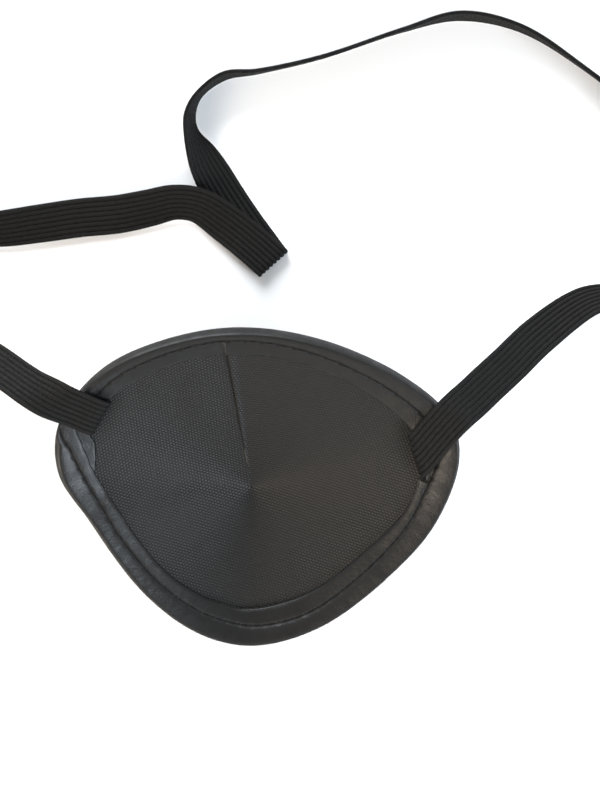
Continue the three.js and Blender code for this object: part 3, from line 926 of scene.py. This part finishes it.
def lining():
    first = math.radians(SEAM_AZIMUTH - LINING_LAP) - FULL_TURN
    last = math.radians(SEAM_AZIMUTH)
    azimuths = np.linspace(first, last, RULINGS)
    near_tip, outer = np.linspace(0.0015, 0.06, 8), np.linspace(0.08, LAYER_REACH, RULING_POINTS - 8)
    reaches = np.concatenate([near_tip, outer])
    directions = np.stack([np.cos(azimuths), np.sin(azimuths)], axis=-1)
    xy = directions[:, None] * (rim_distance_at(azimuths)[:, None] * reaches)[..., None]
    lift = np.minimum(seam_dip(np.degrees(azimuths)[:, None], reaches[None]), HIGHEST_LIFT)
    below = azimuths[:, None] < math.radians(SEAM_AZIMUTH) - FULL_TURN + 0.004
    lift = np.where(below, -LAP_DROP * np.clip(reaches / 0.9, 0, 1) ** 1.2, lift)
    edge = smoothstep(math.radians(SEAM_AZIMUTH - 4), last, azimuths)[:, None]
    lift = lift + edge * EDGE_RISE * np.clip(reaches / 0.4, 0, 1)
    round_off = np.minimum(1, reaches / 0.02)[None]  # the tip of the cone is a little blunt
    lift = lift + LINING_TIP * (1 - round_off)
    for end in STRAP_ENDS.values():
        offset = xy - np.array(end["tight_fold"])
        heading = math.radians(end["fold_edge"])
        fold_line = np.array([math.cos(heading), math.sin(heading)])
        beside = np.clip(offset @ fold_line, -TROUGH_HALF_LENGTH, TROUGH_HALF_LENGTH)[..., None] * fold_line
        off = np.linalg.norm(offset - beside, axis=-1)
        lift = lift - TROUGH_DEPTH * np.exp(-((off / TROUGH_REACH) ** 2))
    local = np.concatenate([xy, (CONE_DEPTH * (reaches - 1) + lift)[..., None]], axis=-1)
    turned = unrolled(azimuths)[:, None]
    slant = np.hypot(np.linalg.norm(xy, axis=-1), CONE_DEPTH * reaches)
    flat = np.stack([slant * np.cos(turned), slant * np.sin(turned), np.zeros_like(slant)], axis=-1)
    top = local.reshape(-1, 3)
    top[:, 2] += 0.06 * rumple(top, 6, 4)
    bottom = top - np.array([0, 0, LINING_THICKNESS])
    count, rows, columns = len(top), RULINGS, RULING_POINTS
    faces = []
    for i in range(rows - 1):
        for k in range(columns - 1):
            a, b = i * columns + k, (i + 1) * columns + k
            faces.append((a, a + 1, b + 1, b))
            faces.append((count + a, count + b, count + b + 1, count + a + 1))
    border = (
        [(0, k) for k in range(columns)]
        + [(i, columns - 1) for i in range(1, rows)]
        + [(rows - 1, k) for k in reversed(range(columns - 1))]
        + [(i, 0) for i in reversed(range(1, rows - 1))]
    )
    loop = [i * columns + k for i, k in border]
    faces += [(a, count + a, count + b, b) for a, b in zip(loop, loop[1:] + loop[:1])]
    piece = new_object("lining_sheet", to_world(np.concatenate([top, bottom])), faces, LINING_WEAVE)
    set_attribute(piece, "flat", np.tile(flat.reshape(-1, 3), (2, 1)))
    raw = np.zeros((rows, columns))
    raw[-1] = np.interp(reaches, [0.16, 0.18, 0.24, 0.26], [0, 1, 1, 0])
    set_attribute(piece, "raw", np.tile(raw.ravel(), 2))
    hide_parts("lining")
    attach(piece, "patch")


lining()


# ---- The shell: one piece of leather formed to a cone ----
SHELL_STATIONS = 360
SHELL_TIP = 0.35  # how far the cone's tip is rounded off


def shell():
    shares = np.linspace(0, 1, SHELL_STATIONS, endpoint=False)
    start = rim_point(shares)
    reaches = np.concatenate([np.linspace(0.02, 0.1, 6), np.linspace(0.13, LAYER_REACH, 34)])
    rows = [(reach, SHELL_TOP) for reach in reaches] + [(reach, SHELL_BOTTOM) for reach in reaches[::-1]]
    reach, lift = np.array(rows).T
    blunt = SHELL_TIP * np.exp(-((reach / 0.05) ** 2))
    xy = start[:, None] * reach[None, :, None]
    z = np.broadcast_to(CONE_DEPTH * (reach - 1) + lift + blunt, xy.shape[:2])
    local = np.concatenate([xy, z[..., None]], axis=-1).reshape(-1, 3)
    local[:, 2] += 0.05 * rumple(local, 5, 5)
    faces = tube_faces(len(shares), len(reach), closed=True)
    piece = new_object("shell_leather", to_world(local), faces, SHELL_LEATHER)
    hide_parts("outer_shell")
    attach(piece, "patch")


shell()

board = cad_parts["stiffener"]
board.data.materials.clear()
board.data.materials.append(BOARD_FOAM)


# ---- Table and light ----
WALLS = 0.8  # the room is bright all round and dark overhead
CEILING = 0.2
FLOOR_SIZE = 3000.0
FLOOR_GAP = 0.0001  # metres, so that no face of the object lies in the floor's plane


def add_floor():
    corners = [(x * FLOOR_SIZE, y * FLOOR_SIZE, 0) for x, y in ((-1, -1), (1, -1), (1, 1), (-1, 1))]
    floor = new_object("table", corners, [(0, 1, 2, 3)], floor_look(), smooth=False)
    floor.location.z = -FLOOR_GAP


def add_light(name, place, size, watts, colour):
    """A square soft light that points at the patch."""
    data = bpy.data.lights.new(name, "AREA")
    data.energy = watts
    data.size = size
    data.color = colour
    light = bpy.data.objects.new(name, data)
    light.location = place
    light.rotation_mode = "QUATERNION"
    light.rotation_quaternion = (-Vector(place)).to_track_quat("-Z", "Y")
    bpy.context.scene.collection.objects.link(light)


def add_lights():
    add_light("window", (0.99, -0.80, 0.72), 0.8, 28, (0.82, 0.91, 1.0))
    add_light("lamp", (-0.92, -0.88, 0.75), 0.8, 20, (1.0, 0.86, 0.71))
    add_light("back", (-0.45, 1.25, 0.75), 1.0, 42, (0.94, 0.97, 1.0))
    world = bpy.data.worlds.new("room")
    world.use_nodes = True
    nodes, links = world.node_tree.nodes, world.node_tree.links
    height = nodes.new("ShaderNodeSeparateXYZ")
    ramp = nodes.new("ShaderNodeValToRGB")
    ramp.color_ramp.elements[0].color = (*[WALLS] * 3, 1)
    ramp.color_ramp.elements[1].color = (*[CEILING] * 3, 1)
    links.new(nodes.new("ShaderNodeTexCoord").outputs["Generated"], height.inputs[0])
    links.new(height.outputs["Z"], ramp.inputs[0])
    links.new(ramp.outputs[0], nodes["Background"].inputs[0])
    bpy.context.scene.world = world


add_floor()
add_lights()
bpy.context.scene.view_settings.view_transform = "Standard"
